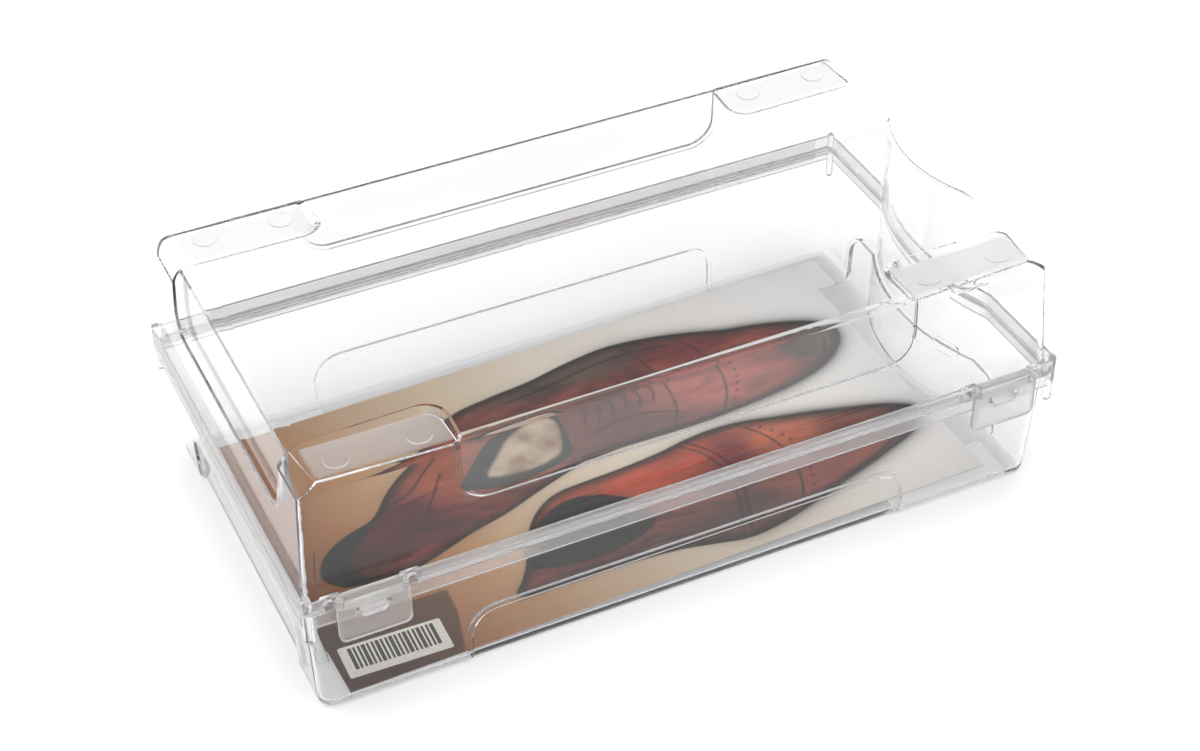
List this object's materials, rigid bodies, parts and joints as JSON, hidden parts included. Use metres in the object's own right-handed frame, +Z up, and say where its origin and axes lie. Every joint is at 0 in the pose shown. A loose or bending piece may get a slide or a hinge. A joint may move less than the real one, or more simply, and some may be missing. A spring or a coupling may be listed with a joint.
{
  "type": "shoe box",
  "caption": "Clear hinged shoe box with flanged mid-height rim, snap latches on the front, grip recess in one end, corner stacking pads and a loose printed insert card.",
  "frame": {"origin": "on the surface that the feet stand on, under the middle of the closed box's bounding box", "axes": "+X along the length, towards the end with the grip recess; +Y from the latches to the hinge; +Z up"},
  "size_m": [0.341, 0.1957, 0.118],
  "materials": {
    "clear_plastic": "clear, gloss",
    "frosted_plastic": "frosted, satin",
    "printed_card": "printed, semi-gloss"
  },
  "bodies": {
    "base": {"base_tray": "clear_plastic", "hinge_film_lower": "clear_plastic", "insert_card": "printed_card"},
    "lid": {"lid_cover": "clear_plastic", "hinge_film_upper": "clear_plastic"},
    "left_latch": {"left_latch": "frosted_plastic"},
    "right_latch": {"right_latch": "frosted_plastic"}
  },
  "joints": [
    {"name": "lid_hinge", "type": "hinge", "parent": "base", "child": "lid", "pos_m": [0, 0.098, 0.06], "axis": [-1, 0, 0], "range_deg": [0, 180]},
    {"name": "left_latch_pivot", "type": "hinge", "parent": "lid", "child": "left_latch", "pos_m": [-0.1426, -0.0951, 0.065], "axis": [-1, 0, 0], "range_deg": [0, 110]},
    {"name": "right_latch_pivot", "type": "hinge", "parent": "lid", "child": "right_latch", "pos_m": [0.1426, -0.0951, 0.065], "axis": [-1, 0, 0], "range_deg": [0, 110]}
  ]
}
